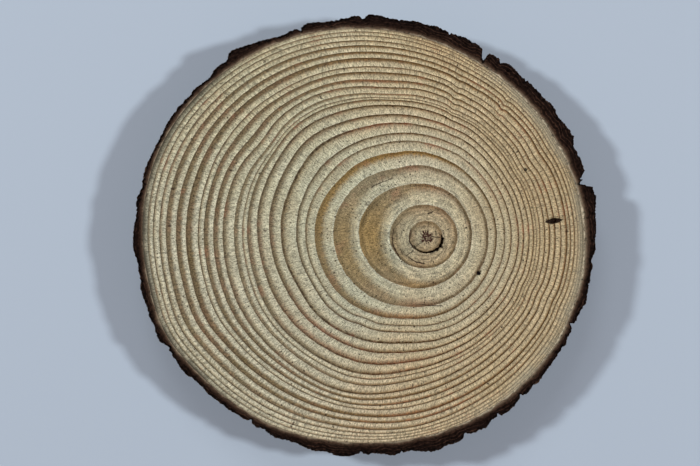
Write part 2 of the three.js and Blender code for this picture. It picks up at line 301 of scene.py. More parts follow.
def shake_depth(radius, direction, settings):
    """Depth in mm of the crescent gap along the first ring, and of its thin tail to the left."""
    along = (direction - SHAKE_START) % 360 / SHAKE_RUN
    if along > 1:
        return 0.0
    swell = smooth(0.0, 0.75, along) * smooth(1.0, 0.93, along)
    wander = 0.10 * noise.noise(Vector((direction * 0.09, 3, 1)))
    middle = SHAKE_RADIUS + 0.45 * smooth(0.4, 0.8, along) - 0.15 * smooth(0.85, 1.0, along) + wander
    torn = noise.noise(Vector((direction * 0.11, 9, 4))) + 0.7 * noise.noise(Vector((direction * 0.33, 2, 8)))
    half = (0.04 + 0.19 * swell) * (1 + 0.9 * torn)
    return settings.shake_depth / MM * smooth(half + 0.07, half - 0.03, abs(radius - middle))


def hollow_depth(radius, direction, settings):
    """Depth in mm of the overgrown twig's hollow."""
    across = abs(radius * math.radians(turn(math.degrees(settings.hollow_direction), direction)))
    along = abs(radius - settings.hollow_distance / MM)
    far = (along / HOLLOW_HALF_LENGTH) ** HOLLOW_POWER + (across / HOLLOW_HALF_WIDTH) ** HOLLOW_POWER
    return HOLLOW_DEPTH * smooth(1.1, 0.5, far)


def wood_profile(thickness):
    """Years of growth and heights in mm of the wood's section, from the underside round to the top."""
    rings = len(RINGS)
    under = [(0.0, 0.0)]
    for ring in range(rings):
        under += [(ring + share, UNDERSIDE_RELIEF * drop) for share, drop in RING_LOOPS[2::3]]
        under.append((ring + 1.0, 0.0))
    side = [(float(rings), thickness * share) for share in (0.02, 0.35, 0.7, 0.98)]
    top = {}
    for ring in range(rings):
        for share, drop in RING_LOOPS:
            top[round(ring + share, 4)] = thickness - (drop if ring else 0.0)
    top[float(rings)] = thickness
    for growth in PITH_LOOPS + SHAKE_LOOPS:
        top[growth] = thickness
    return under + side + sorted(top.items(), reverse=True)


def wood_mesh(settings):
    """The wood: its rings are low steps on the upper face, and lower ones on the underside."""
    thickness = settings.thickness / MM
    steps = settings.sectors
    bm = spun(wood_profile(thickness), steps)
    layers = float_layers(bm, ("year", "late", "dark", "amber", "blush", "crack"))
    tables = {}
    for vert in bm.verts:
        growth, sector, direction = spun_place(vert, steps)
        growth = round(growth, 4)
        if sector not in tables:
            tables[sector] = [ring_radius(ring, direction) for ring in range(len(RINGS) + 1)]
        inner = min(int(growth), len(RINGS) - 1)
        low, high = tables[sector][inner:inner + 2]
        radius = low + (high - low) * (growth - inner)
        height = vert.co.z
        sunk = 0.0
        if height > thickness / 2:
            cut = shake_depth if growth < SHAKE_YEARS else hollow_depth
            sunk = cut(radius, direction, settings)
        ring = max(1, min(math.ceil(growth), len(RINGS)))
        vert[layers["year"]] = growth
        vert[layers["late"]] = late_share(ring, direction)
        vert[layers["dark"]] = ring_darkness(ring, direction)
        vert[layers["amber"]] = stained(AMBER, ring, direction)
        vert[layers["blush"]] = stained(BLUSH, ring, direction)
        # how deep the face is sunk in the crescent gap or the twig's hollow, which the wood's colour turns
        # into painted shade
        vert[layers["crack"]] = min(sunk, 1.0)
        angle = math.radians(direction)
        rough = SAW_ROUGHNESS
        if 0 < growth < len(RINGS):
            lumps = fractal(radius * math.cos(angle) * 0.8, radius * math.sin(angle) * 0.8, height)
            rough += SAW_ROUGHNESS * lumps
        level = height - sunk - (rough if height > thickness / 2 else -rough)
        level = min(max(level, 0.0), thickness)
        vert.co = Vector((radius * math.cos(angle), radius * math.sin(angle), level)) * MM + PITH * MM
    return bm


class BarkSurface:
    """Reads the CAD bark's outer wall by direction and height."""

    def __init__(self, thickness):
        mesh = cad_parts["bark"].data
        self.tree = BVHTree.FromPolygons(
            [v.co.copy() for v in mesh.vertices], [tuple(p.vertices) for p in mesh.polygons]
        )
        self.thickness = thickness

    def outer(self, direction, height):
        """Radius in mm of the outer wall."""
        angle = math.radians(direction)
        out = Vector((math.cos(angle), math.sin(angle), 0))
        level = min(max(height, 0.3), FRAYED_FROM * self.thickness)
        start = (PITH + out * OUTSIDE + Vector((0, 0, level))) * MM
        hit = self.tree.ray_cast(start, -out)[0]
        return (hit - (PITH + Vector((0, 0, level))) * MM).length / MM


def scale_step(x, y, z):
    """How far in mm a place lies below the outermost scales: flat plates with torn edges."""
    warp = Vector((noise.noise(Vector((x, y, z)) * 0.5), noise.noise(Vector((y, z, x)) * 0.5), 0))
    place = Vector((x, y, z)) * Vector(PLATES) + warp * 0.35
    distances, points = noise.voronoi(place)
    plate = noise.cell(points[0] * 37.7)
    edge = smooth(0.0, 0.10, distances[1] - distances[0])
    return 0.16 + 0.34 * abs(plate) + 0.30 * (1 - edge)


def chipped(direction):
    """Depth in mm of the chips in the bark's sawn edge."""
    total = 0.0
    for at, half, depth in CHIPS:
        away = abs(turn(at, direction))
        if away < half + 0.2:
            total = max(total, depth * smooth(half + 0.12, half - 0.2, away))
    return total


def bark_profile(settings):
    """Section of the bark: (depth from 0 at the wood to 1 outside, share of the height)."""
    rise = settings.wall_loops
    across = settings.cut_loops
    outer = [(1.0, 0.015 + 0.97 * step / rise) for step in range(rise + 1)]
    top = [(1 - step / across, 1.0) for step in range(1, across + 1)]
    inner = [(0.0, 0.66), (0.0, 0.33)]
    under = [(step / 6, 0.0) for step in range(6)]
    return outer + top + inner + under


def bark_mesh(settings):
    """The bark: layered on its sawn faces, and scaly and fissured outside."""
    thickness = settings.thickness / MM
    steps = settings.sectors
    surface = BarkSurface(thickness)
    low, high = (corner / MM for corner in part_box("bark"))
    bm = spun([(BARK_START + depth, share) for depth, share in bark_profile(settings)], steps)
    layers = float_layers(bm, ("layer", "cut", "scale", "rim"))
    walls, edges = {}, {}
    for vert in bm.verts:
        depth, sector, direction = spun_place(vert, steps)
        depth = round(depth - BARK_START, 3)
        share = vert.co.z
        angle = math.radians(direction)
        out = Vector((math.cos(angle), math.sin(angle), 0))
        height = share * thickness
        if sector not in edges:
            edges[sector] = wood_edge(direction)
        key = (sector, round(height, 3))
        if key not in walls:
            walls[key] = surface.outer(direction, height)
        edge, wall = edges[sector] - BARK_OVERLAP, walls[key]
        place = out * wall + Vector((0, 0, height))
        step = scale_step(*place) * smooth(0.0, 1.2, wall - edge - 0.3)
        sawn = smooth(FRAYED_FROM, 1.0, share)
        ragged = 0.42 + 0.28 * fractal(place.x * 0.7, place.y * 0.7, place.z * 0.7, 4)
        ragged -= 0.40 * abs(noise.noise(place * 1.1)) + 0.20 * abs(noise.noise(place * 2.9))
        chip = chipped(direction - 0.1 * (thickness - height)) * smooth(0.1, 0.7, share)
        reach = max(wall - edge - step * (1 - 0.7 * sawn) + ragged * (0.6 + 0.4 * sawn) - chip, 0.5)
        radius = edge + reach * depth
        if share >= 1.0:
            ply = fractal(radius * math.cos(angle) * 0.5, radius * math.sin(angle) * 0.5, 2.0, 2)
            terrace = (depth * reach * 2.6 + ply * 1.4) % 1.0
            lumps = max(fractal(place.x * 0.7, place.y * 0.7, 7.0), -0.4)
            crumble = smooth(0.25, 1.0, depth) * (0.30 + 0.5 * lumps)
            height = thickness - 0.04 - 0.16 * terrace * smooth(0.0, 0.2, depth) - crumble
        elif depth < 1.0 and share <= 0.0:
            height = 0.02 + 0.12 * smooth(0.2, 1.0, depth) * (1 + fractal(place.x, place.y, 3.0, 2))
        elif depth == 1.0:
            height -= 0.45 * sawn
        spot = out * radius + PITH
        spot.x = min(max(spot.x, low.x), high.x)
        spot.y = min(max(spot.y, low.y), high.y)
        vert[layers["layer"]] = depth * reach
        vert[layers["cut"]] = 1.0 if share >= 1.0 or share <= 0.0 else 0.0
        # the depth below the outermost scales, which the bark's colour turns into painted shade
        vert[layers["scale"]] = step
        vert[layers["rim"]] = (1 - depth) * reach
        vert.co = Vector((spot.x, spot.y, max(height, 0.0))) * MM
    return bm


class Graph:
    """Short ways to add and join nodes in one tree."""

    def __init__(self, tree):
        self.tree = tree
        self.column = 0

    def add(self, kind, values=(), **settings):
        """A node with its properties set, and its inputs joined or filled in by name or place."""
        made = self.tree.nodes.new(kind)
        made.location = (180 * self.column, -90 * (self.column % 5))
        self.column += 1
        for key, value in settings.items():
            setattr(made, key, value)
        pairs = values.items() if isinstance(values, dict) else enumerate(values)
        for key, value in pairs:
            self.join(value, made.inputs[key])
        return made

    def join(self, value, socket):
        """Links an output to a socket, or sets the socket's own value."""
        if isinstance(value, bpy.types.NodeSocket):
            self.tree.links.new(value, socket)
        else:
            socket.default_value = value

    def math(self, operation, *values, clamp=False):
        return self.add("ShaderNodeMath", values, operation=operation, use_clamp=clamp).outputs[0]

    def times(self, *values, clamp=False):
        return self.math("MULTIPLY", *values, clamp=clamp)

    def minus(self, first, second):
        return self.math("SUBTRACT", first, second)

    def vector(self, operation, *values, output=0):
        return self.add("ShaderNodeVectorMath", values, operation=operation).outputs[output]

    def scaled(self, vector, scale):
        """A vector times one number or one number for each axis."""
        return self.vector("MULTIPLY", vector, scale if isinstance(scale, tuple) else (scale,) * 3)

    def flattened(self, vector):
        """A vector without its height."""
        return self.vector("MULTIPLY", vector, (1, 1, 0))

    def upward(self, value, scale):
        """A vector along Z, as long as a number times a scale."""
        return self.add("ShaderNodeCombineXYZ", {2: self.times(value, scale)}).outputs[0]

    def noise(self, vector, scale, detail=2.0, roughness=0.5):
        values = {"Vector": vector, "Scale": scale, "Detail": detail, "Roughness": roughness}
        return self.add("ShaderNodeTexNoise", values).outputs[0]

    def step(self, value, low, high, to_low=0.0, to_high=1.0):
        """Smoothly from to_low at low to to_high at high."""
        values = {0: value, 1: low, 2: high, 3: to_low, 4: to_high}
        made = self.add("ShaderNodeMapRange", values, interpolation_type="SMOOTHSTEP", clamp=True)
        return made.outputs[0]

    def blend(self, factor, first, second, mode="MIX"):
        made = self.add("ShaderNodeMix", {0: factor, 6: first, 7: second}, data_type="RGBA", blend_type=mode)
        return made.outputs[2]

    def toned(self, colour, factor):
        """A colour made lighter or darker by a factor."""
        return self.add("ShaderNodeVectorMath", {0: colour, 3: factor}, operation="SCALE").outputs[0]

    def ramp(self, value, stops):
        """Colours along a value, as [(place, colour), ...]."""
        made = self.add("ShaderNodeValToRGB", {0: value})
        band = made.color_ramp
        while len(band.elements) < len(stops):
            band.elements.new(0.5)
        for element, (place, colour) in zip(band.elements, stops):
            element.position = place
            element.color = solid(colour)
        return made.outputs[0]

    def attribute(self, name):
        return self.add("ShaderNodeAttribute", attribute_name=name).outputs["Fac"]


def solid(colour):
    """A colour of three numbers as a node's socket takes it."""
    return (*colour, 1)


def tones_of(colour, tones):
    """A ramp's stops round one colour, from a table of places and factors."""
    return [(place, tuple(c * f for c, f in zip(colour, factors))) for place, factors in tones]


def new_group(name, inputs, outputs):
    """Makes a node group; gives its graph, its inputs by name and its end node."""
    kinds = {"f": "NodeSocketFloat", "v": "NodeSocketVector", "c": "NodeSocketColor"}
    tree = bpy.data.node_groups.new(name, "ShaderNodeTree")
    for title, kind in inputs:
        tree.interface.new_socket(title, in_out="INPUT", socket_type=kinds[kind])
    for title, kind in outputs:
        tree.interface.new_socket(title, in_out="OUTPUT", socket_type=kinds[kind])
    graph = Graph(tree)
    start = graph.add("NodeGroupInput")
    end = tree.nodes.new("NodeGroupOutput")
    end.location = (4000, 0)
    return graph, {title: start.outputs[title] for title, _ in inputs}, end


def use_group(graph, tree_name, values):
    """The outputs of a group used in a graph, with its inputs filled in."""
    return graph.add("ShaderNodeGroup", values, node_tree=bpy.data.node_groups[tree_name]).outputs


def polar_group():
    """Place about the pith: its distance, a point on a cylinder round it for noise, and itself in mm."""
    graph, inputs, end = new_group(
        "Place about the pith", [("Position", "v")], [("Distance", "f"), ("Round", "v"), ("Millimetres", "v")]
    )
    place = graph.vector("SUBTRACT", graph.scaled(inputs["Position"], 1 / MM), tuple(PITH))
    level = graph.flattened(place)
    distance = graph.vector("LENGTH", level, output=1)
    unit = graph.vector("NORMALIZE", level)
    graph.join(distance, end.inputs["Distance"])
    graph.join(graph.vector("ADD", unit, graph.upward(distance, 0.008)), end.inputs["Round"])
    graph.join(place, end.inputs["Millimetres"])


def rays_group():
    """Fine strokes along the radius, as the wood rays and cell rows show on end grain."""
    graph, inputs, end = new_group("Ray strokes", [("Round", "v")], [("Strokes", "f"), ("Coarse", "f")])
    fine = graph.noise(inputs["Round"], 150.0, 2.0, 0.7)
    graph.join(graph.step(fine, 0.28, 0.72), end.inputs["Strokes"])
    graph.join(graph.step(graph.noise(inputs["Round"], 42.0, 2.0, 0.6), 0.3, 0.7), end.inputs["Coarse"])


def mark_group():
    """A thin straight mark between two points in mm about the pith, over the marks made before it."""
    graph, inputs, end = new_group(
        "Straight mark",
        [("Place", "v"), ("From", "v"), ("Along", "v"), ("Width", "f"), ("Strength", "f"), ("Before", "f")],
        [("Mask", "f")],
    )
    here = graph.vector("SUBTRACT", inputs["Place"], inputs["From"])
    line = inputs["Along"]
    length = graph.vector("DOT_PRODUCT", line, line, output=1)
    share = graph.math("DIVIDE", graph.vector("DOT_PRODUCT", here, line, output=1), length, clamp=True)
    away = graph.vector("DISTANCE", here, graph.toned(line, share), output=1)
    away = graph.math("DIVIDE", graph.times(away, 3.2), inputs["Width"])
    mask = graph.minus(1.6, away)
    mask = graph.times(graph.math("MINIMUM", mask, 1.0), inputs["Strength"])
    graph.join(graph.math("MAXIMUM", mask, inputs["Before"]), end.inputs["Mask"])


def dashes_group():
    """A few short dark dashes along the radius."""
    graph, inputs, end = new_group("Radial dashes", [("Round", "v"), ("Distance", "f")], [("Mask", "f")])
    around = graph.scaled(graph.flattened(inputs["Round"]), 55.0)
    spot = graph.vector("ADD", around, graph.upward(inputs["Distance"], 0.55))
    cells = graph.add("ShaderNodeTexVoronoi", {"Vector": spot, "Scale": 1.0})
    kept = graph.add("ShaderNodeSeparateColor", {0: cells.outputs["Color"]}).outputs[0]
    near = graph.step(cells.outputs["Distance"], 0.34, 0.16)
    graph.join(graph.times(near, graph.math("GREATER_THAN", kept, 0.987)), end.inputs["Mask"])


def pores_group():
    """Resin canals: tiny dark dots strewn over the sawn face, in some places more than in others."""
    graph, inputs, end = new_group("Resin canals", [("Millimetres", "v"), ("Distance", "f")], [("Mask", "f")])
    crowd = graph.step(graph.noise(inputs["Millimetres"], 0.12, 2.0), 0.4, 0.62, 0.5, 1.0)
    crowd = graph.times(crowd, graph.step(inputs["Distance"], 14.0, 32.0, 1.0, 0.62))
    total = None
    for scale, size, low in ((0.42, 0.20, 0.34), (0.95, 0.145, 0.55)):
        cells = graph.add(
            "ShaderNodeTexVoronoi", {"Vector": inputs["Millimetres"], "Scale": scale},
            voronoi_dimensions="2D",
        )
        shade = graph.add("ShaderNodeSeparateColor", {0: cells.outputs["Color"]}).outputs
        kept = graph.math("GREATER_THAN", graph.times(shade[0], crowd), low)
        radius = graph.times(graph.math("ADD", shade[1], 0.35), size * scale)
        near = graph.math("DIVIDE", cells.outputs["Distance"], radius)
        dot = graph.times(graph.minus(1.0, near), 1.8, clamp=True)
        dot = graph.times(dot, kept)
        total = dot if total is None else graph.math("MAXIMUM", total, dot)
    graph.join(total, end.inputs["Mask"])


def growth_group(settings):
    """Tone of the growth rings: pale early wood grading into dark late wood, then pale at once."""
    graph, inputs, end = new_group(
        "Growth rings",
        [("Year", "f"), ("Late", "f"), ("Dark", "f"), ("Amber", "f"), ("Blush", "f"), ("Strokes", "f"),
         ("Coarse", "f"), ("Round", "v"), ("Millimetres", "v")],
        [("Color", "c"), ("Height", "f")],
    )
    place = inputs["Millimetres"]
    wobble = graph.times(graph.minus(graph.noise(place, 0.55, 3.0), 0.5), 0.12)
    share = graph.math("FRACT", graph.math("ADD", inputs["Year"], wobble))
    jag = graph.minus(graph.math("ADD", inputs["Strokes"], inputs["Coarse"]), 1.0)
    ragged = graph.math("MULTIPLY_ADD", jag, 0.10, share)
    start = graph.minus(1.0, graph.times(inputs["Late"], 1.36))
    plateau = graph.step(inputs["Late"], 0.38, 0.50, 0.38, 0.66)
    full = graph.minus(1.0, graph.times(inputs["Late"], plateau))
    late = graph.step(ragged, start, full)
    near = graph.math("MULTIPLY_ADD", jag, 0.02, share)
    line = graph.times(graph.step(near, 0.80, 0.90), graph.step(near, 0.94, 1.0, 1.0, 0.5))
    depth = graph.math("MULTIPLY_ADD", inputs["Dark"], 0.62, 0.38)
    depth = graph.math("MULTIPLY_ADD", inputs["Amber"], 0.2, depth)
    band = graph.times(late, depth, clamp=True)
    patch = graph.noise(place, 0.05, 3.0, 0.6)
    early = graph.ramp(patch, tones_of(settings.early_colour, EARLY_TONES))
    side, up, _ = graph.add("ShaderNodeSeparateXYZ", {0: place}).outputs
    early = graph.blend(graph.step(side, -20.0, 34.0, 0.0, 0.40), early, (0.41, 0.34, 0.215, 1))
    low_left = graph.minus(graph.times(side, -1.0), up)
    early = graph.blend(graph.step(low_left, 15.0, 60.0, 0.0, 0.6), early, (0.50, 0.47, 0.365, 1))
    creamy = graph.times(graph.step(share, 0.25, 0.65), 0.35)
    early = graph.blend(creamy, early, (0.40, 0.325, 0.195, 1))
    early = graph.blend(graph.step(share, 0.02, 0.16, 0.40, 0.0), early, (0.56, 0.53, 0.40, 1))
    brown = graph.ramp(graph.noise(place, 0.16, 3.0, 0.6), tones_of(settings.late_colour, LATE_TONES))
    east = graph.add("ShaderNodeSeparateXYZ", {0: inputs["Round"]}).outputs[0]
    east = graph.step(east, -0.85, -0.25)
    brown = graph.blend(east, brown, (1.03, 0.93, 0.78, 1), mode="MULTIPLY")
    brown = graph.blend(inputs["Amber"], brown, solid(settings.amber_colour))
    colour = graph.blend(band, early, brown)
    edge = graph.times(line, graph.math("MULTIPLY_ADD", inputs["Dark"], 0.65, 0.25))
    edge = graph.times(edge, graph.step(jag, -0.45, 0.45, 0.40, 1.70))
    edge = graph.times(edge, graph.step(inputs["Year"], 5.5, 9.0, 0.62, 1.0))
    edge = graph.times(edge, graph.step(inputs["Late"], 0.30, 0.46, 1.25, 0.50), clamp=True)
    hard = graph.blend(east, (0.050, 0.033, 0.018, 1), (0.036, 0.017, 0.003, 1))
    colour = graph.blend(edge, colour, hard)
    blush = graph.step(graph.noise(place, 0.22, 2.0), 0.56, 0.74)
    blush = graph.math("MULTIPLY_ADD", graph.math("MAXIMUM", blush, inputs["Blush"]), 0.34, -0.02)
    blush = graph.times(blush, graph.step(ragged, 0.35, 0.85), clamp=True)
    colour = graph.blend(blush, colour, solid(settings.resin_colour))
    heart = graph.step(inputs["Year"], 1.8, 2.05, 0.45, 0.0)
    colour = graph.blend(heart, colour, solid(settings.heart_colour))
    ripple = graph.math("SINE", graph.times(inputs["Year"], 26.0))
    ripple = graph.times(ripple, graph.step(inputs["Year"], 1.9, 2.3, 0.07, 0.0))
    colour = graph.toned(colour, graph.math("ADD", ripple, 1.0))
    around = graph.scaled(graph.flattened(inputs["Round"]), 3.0)
    spot = graph.vector("ADD", around, graph.upward(inputs["Year"], 7.0))
    streaks = graph.minus(graph.noise(spot, 1.0, 3.0, 0.65), 0.5)
    streaks = graph.times(streaks, graph.step(inputs["Year"], 2.0, 4.4, 2.6, 0.7))
    tone = graph.math("MULTIPLY_ADD", graph.minus(inputs["Coarse"], 0.5), 0.22, 1.0)
    colour = graph.toned(colour, graph.math("ADD", streaks, tone))
    warm = graph.step(inputs["Year"], 4.0, 11.0)
    warm = graph.times(warm, graph.step(side, -24.0, 6.0, 0.5, 1.0))
    colour = graph.blend(warm, colour, (1.0, 0.915, 0.835, 1), mode="MULTIPLY")
    level = graph.blend(east, (1.06, 1.08, 1.11, 1), (1.15, 1.085, 1.065, 1))
    graph.join(graph.blend(1.0, colour, level, mode="MULTIPLY"), end.inputs["Color"])
    graph.join(graph.times(late, 0.5), end.inputs["Height"])


# Thin marks on the sawn face: from, to in mm about the pith, width in mm, strength.
MARKS = [
    ((1.1, 0.25), (3.1, 0.2), 0.36, 0.9), ((0.45, 1.5), (0.45, 5.2), 0.24, 0.5),
    ((0.45, 5.2), (1.5, 5.7), 0.36, 1.0), ((-0.9, -0.9), (-2.3, -1.9), 0.3, 0.75),
    ((-2.8, -2.8), (-4.2, -3.7), 0.36, 0.85), ((-3.9, -4.1), (-2.2, -5.1), 0.36, 1.0),
    ((-2.2, -5.1), (-0.3, -5.5), 0.42, 1.0), ((-7.3, 0.2), (-7.1, -1.7), 0.40, 0.85),
    ((-7.1, -1.7), (-5.5, -4.6), 0.42, 0.95), ((-11.8, 10.9), (-9.6, 12.0), 0.34, 0.9),
    ((-9.6, 12.0), (-7.1, 13.0), 0.32, 0.8), ((-0.9, -14.4), (3.6, -14.7), 0.34, 0.8),
    ((-3.3, 1.6), (-3.6, -0.6), 0.4, 0.8), ((-3.6, -0.6), (-2.6, -2.2), 0.42, 0.95),
    ((-6.9, 1.9), (-7.2, 0.4), 0.3, 0.7), ((-5.3, 3.9), (-6.3, 2.6), 0.26, 0.6),
    ((22.8, 6.3), (26.6, 7.4), 0.24, 0.35), ((-1.1, -4.6), (0.7, -4.7), 0.28, 0.7),
    ((3.9, -3.1), (4.7, -2.1), 0.26, 0.6), ((-5.6, -2.4), (-5.0, -3.6), 0.26, 0.6),
]
# Small round holes, painted black as the shade inside them: place about the pith and radius in mm, and how
# black they are.
PINHOLES = [
    ((11.4, -7.6), 0.46, 1.0), ((21.5, 14.8), 0.36, 0.9), ((-9.6, -1.7), 0.3, 0.6),
    ((22.3, -16.2), 0.26, 0.7),
]
# Where the middle of the brown star lies from the rings' own middle, in mm.
PITH_STAR = (0.15, 0.25)


def pith_mask(graph, place, level):
    """The pith: a brown star with a broken edge."""
    spokes = graph.noise(place["Round"], 4.2, 0.0)
    star = graph.math("MULTIPLY_ADD", graph.step(spokes, 0.40, 0.55), 0.6, 0.95)
    centre = graph.vector("DISTANCE", level, (*PITH_STAR, 0), output=1)
    mask = graph.step(graph.minus(centre, star), -0.15, 0.12, 1.0, 0.0)
    broken = graph.step(graph.noise(place["Millimetres"], 2.2, 1.0), 0.36, 0.52, 0.35, 1.0)
    return graph.times(mask, broken)


def first_ring_mask(graph, spot, year):
    """The ragged brown edge of the first ring, on the left."""
    mask = graph.step(graph.math("ABSOLUTE", graph.minus(year, 0.97)), 0.15, 0.05)
    leftward = graph.vector("DOT_PRODUCT", graph.vector("NORMALIZE", spot), (-0.95, -0.15, 0), output=1)
    mask = graph.times(mask, graph.step(leftward, 0.35, 0.8, 0.12, 1.0))
    broken = graph.step(graph.noise(spot, 2.2, 2.0, 0.7), 0.40, 0.58, 0.25, 0.95)
    return graph.times(mask, broken)


def marks_mask(graph, place, bent):
    """The radial dashes and the thin marks, at places that waver a little."""
    values = {"Round": place["Round"], "Distance": place["Distance"]}
    mask = graph.times(use_group(graph, "Radial dashes", values)["Mask"], 0.75)
    for start, stop, width, strength in MARKS:
        mask = use_group(graph, "Straight mark", {
            "Place": bent, "From": (*start, 0), "Along": (stop[0] - start[0], stop[1] - start[1], 0),
            "Width": width, "Strength": strength, "Before": mask,
        })["Mask"]
    return mask


def holes_mask(graph, bent):
    """The small round holes, painted dark as the shade inside them."""
    mask = None
    for spot, radius, strength in PINHOLES:
        away = graph.vector("DISTANCE", bent, (*spot, 0), output=1)
        hole = graph.step(away, radius * 1.15, radius * 0.75, 0.0, strength)
        mask = hole if mask is None else graph.math("MAXIMUM", mask, hole)
    return mask


def hollow_mask(graph, spot, grain, settings):
    """Where the overgrown twig's hollow is painted dark: painted shade in the hollow, reaching a little past
    its edge.
    """
    angle = settings.hollow_direction
    out = (math.cos(angle), math.sin(angle), 0)
    middle = tuple(settings.hollow_distance / MM * value for value in out)
    here = graph.vector("SUBTRACT", spot, middle)
    sideways = (-out[1], out[0], 0)
    shaded_half = (HOLLOW_HALF_LENGTH + HOLLOW_SHADE_REACH[0], HOLLOW_HALF_WIDTH + HOLLOW_SHADE_REACH[1])
    far = []
    for line, half in zip((out, sideways), shaded_half):
        away = graph.math("ABSOLUTE", graph.vector("DOT_PRODUCT", here, line, output=1))
        far.append(graph.math("POWER", graph.math("DIVIDE", away, half), HOLLOW_POWER))
    ragged = graph.math("MULTIPLY_ADD", graph.minus(grain, 0.5), 0.5, graph.math("ADD", *far))
    return graph.step(ragged, 1.08, 0.88)


def new_material(name, roughness, specular):
    """Makes a material; gives it with its graph and its shader."""
    material = bpy.data.materials.new(name)
    material.use_nodes = True
    shader = material.node_tree.nodes["Principled BSDF"]
    shader.inputs["Roughness"].default_value = roughness
    shader.inputs["Specular IOR Level"].default_value = specular
    return material, Graph(material.node_tree), shader


def wood_material(settings):
    """Dry, sawn pine end grain."""
    material, graph, shader = new_material("Sawn pine", roughness=0.78, specular=0.08)
    position = graph.add("ShaderNodeTexCoord").outputs["Object"]
    place = use_group(graph, "Place about the pith", {"Position": position})
    rays = use_group(graph, "Ray strokes", {"Round": place["Round"]})
    strokes = rays["Strokes"]
    spot = place["Millimetres"]
    year = graph.attribute("year")
    rings = use_group(graph, "Growth rings", {
        "Year": year, "Late": graph.attribute("late"), "Dark": graph.attribute("dark"),
        "Amber": graph.attribute("amber"), "Blush": graph.attribute("blush"), "Strokes": strokes,
        "Coarse": rays["Coarse"], "Round": place["Round"], "Millimetres": spot,
    })
    pores = use_group(graph, "Resin canals", {"Millimetres": spot, "Distance": place["Distance"]})["Mask"]
    grain = graph.noise(spot, 4.0, 1.0, 0.6)
    speckle = graph.math("MULTIPLY_ADD", graph.minus(0.5, grain), 1.8, 1.0)
    hatching = graph.times(graph.minus(strokes, 0.5), 0.95)
    texture = graph.step(graph.math("ADD", speckle, hatching), 0.35, 1.65, 0.45, 1.36)
    colour = graph.toned(rings["Color"], texture)
    colour = graph.blend(graph.times(pores, 0.95), colour, solid(settings.canal_colour))
    level = graph.flattened(spot)
    colour = graph.blend(pith_mask(graph, place, level), colour, solid(settings.pith_colour))
    colour = graph.blend(first_ring_mask(graph, spot, year), colour, (0.075, 0.045, 0.028, 1))
    # the marks, the holes and the hollow are left off the underside
    side, _, height = graph.add("ShaderNodeSeparateXYZ", {0: spot}).outputs
    upper = graph.step(height, 4.0, 6.0)
    wave = graph.add("ShaderNodeTexNoise", {"Vector": level, "Scale": 1.2, "Detail": 2.0}).outputs[1]
    bent = graph.scaled(graph.vector("SUBTRACT", wave, (0.5, 0.5, 0.5)), (0.55, 0.55, 0))
    bent = graph.vector("ADD", level, bent)
    marks = graph.times(marks_mask(graph, place, bent), upper)
    colour = graph.blend(marks, colour, solid(settings.mark_colour))
    # painted shade: the small round holes are painted near black on the flat face
    holes = graph.times(holes_mask(graph, bent), upper)
    colour = graph.blend(holes, colour, (0.004, 0.002, 0.002, 1))
    # pale sapwood on the right, then the growing layer under the bark, stained grey on the left
    sap = graph.times(graph.step(side, 4.0, 24.0), graph.step(year, 19.5, 23.2))
    sap = graph.times(sap, graph.step(graph.noise(spot, 0.14, 2.0), 0.36, 0.52, 0.2, 0.5))
    colour = graph.blend(sap, colour, (0.36, 0.345, 0.275, 1))
    colour = graph.blend(graph.step(year, 23.3, 24.0, 0.0, 0.45), colour, (0.13, 0.085, 0.055, 1))
    stain = graph.times(graph.step(side, -50.0, -34.0, 0.9, 0.0), graph.step(year, 22.3, 24.0))
    stain = graph.times(stain, graph.step(graph.noise(spot, 0.18, 3.0), 0.30, 0.52, 0.4, 1.0))
    colour = graph.blend(stain, colour, (0.050, 0.044, 0.032, 1))
    # painted shade: the twig's hollow is painted near black
    hollow = graph.times(hollow_mask(graph, spot, grain, settings), upper)
    colour = graph.blend(hollow, colour, solid(settings.hollow_shade_colour))
    # the crescent gap, torn along its edge, painted dark brown to near black as painted shade in the gap
    torn = graph.blend(graph.step(grain, 0.35, 0.60), (0.085, 0.050, 0.032, 1), (0.008, 0.004, 0.003, 1))
    gap = graph.math("MULTIPLY_ADD", graph.minus(grain, 0.5), 2.2, graph.attribute("crack"))
    colour = graph.blend(graph.step(gap, 0.3, 0.8), colour, torn)
    graph.join(colour, shader.inputs["Base Color"])
    relief = graph.math("MULTIPLY_ADD", grain, -0.7, rings["Height"])
    relief = graph.math("MULTIPLY_ADD", strokes, 0.5, relief)
    relief = graph.minus(relief, pores)
    bump = graph.add("ShaderNodeBump", {"Height": relief, "Strength": 0.6, "Distance": 0.00015})
    graph.join(bump.outputs[0], shader.inputs["Normal"])
    return material


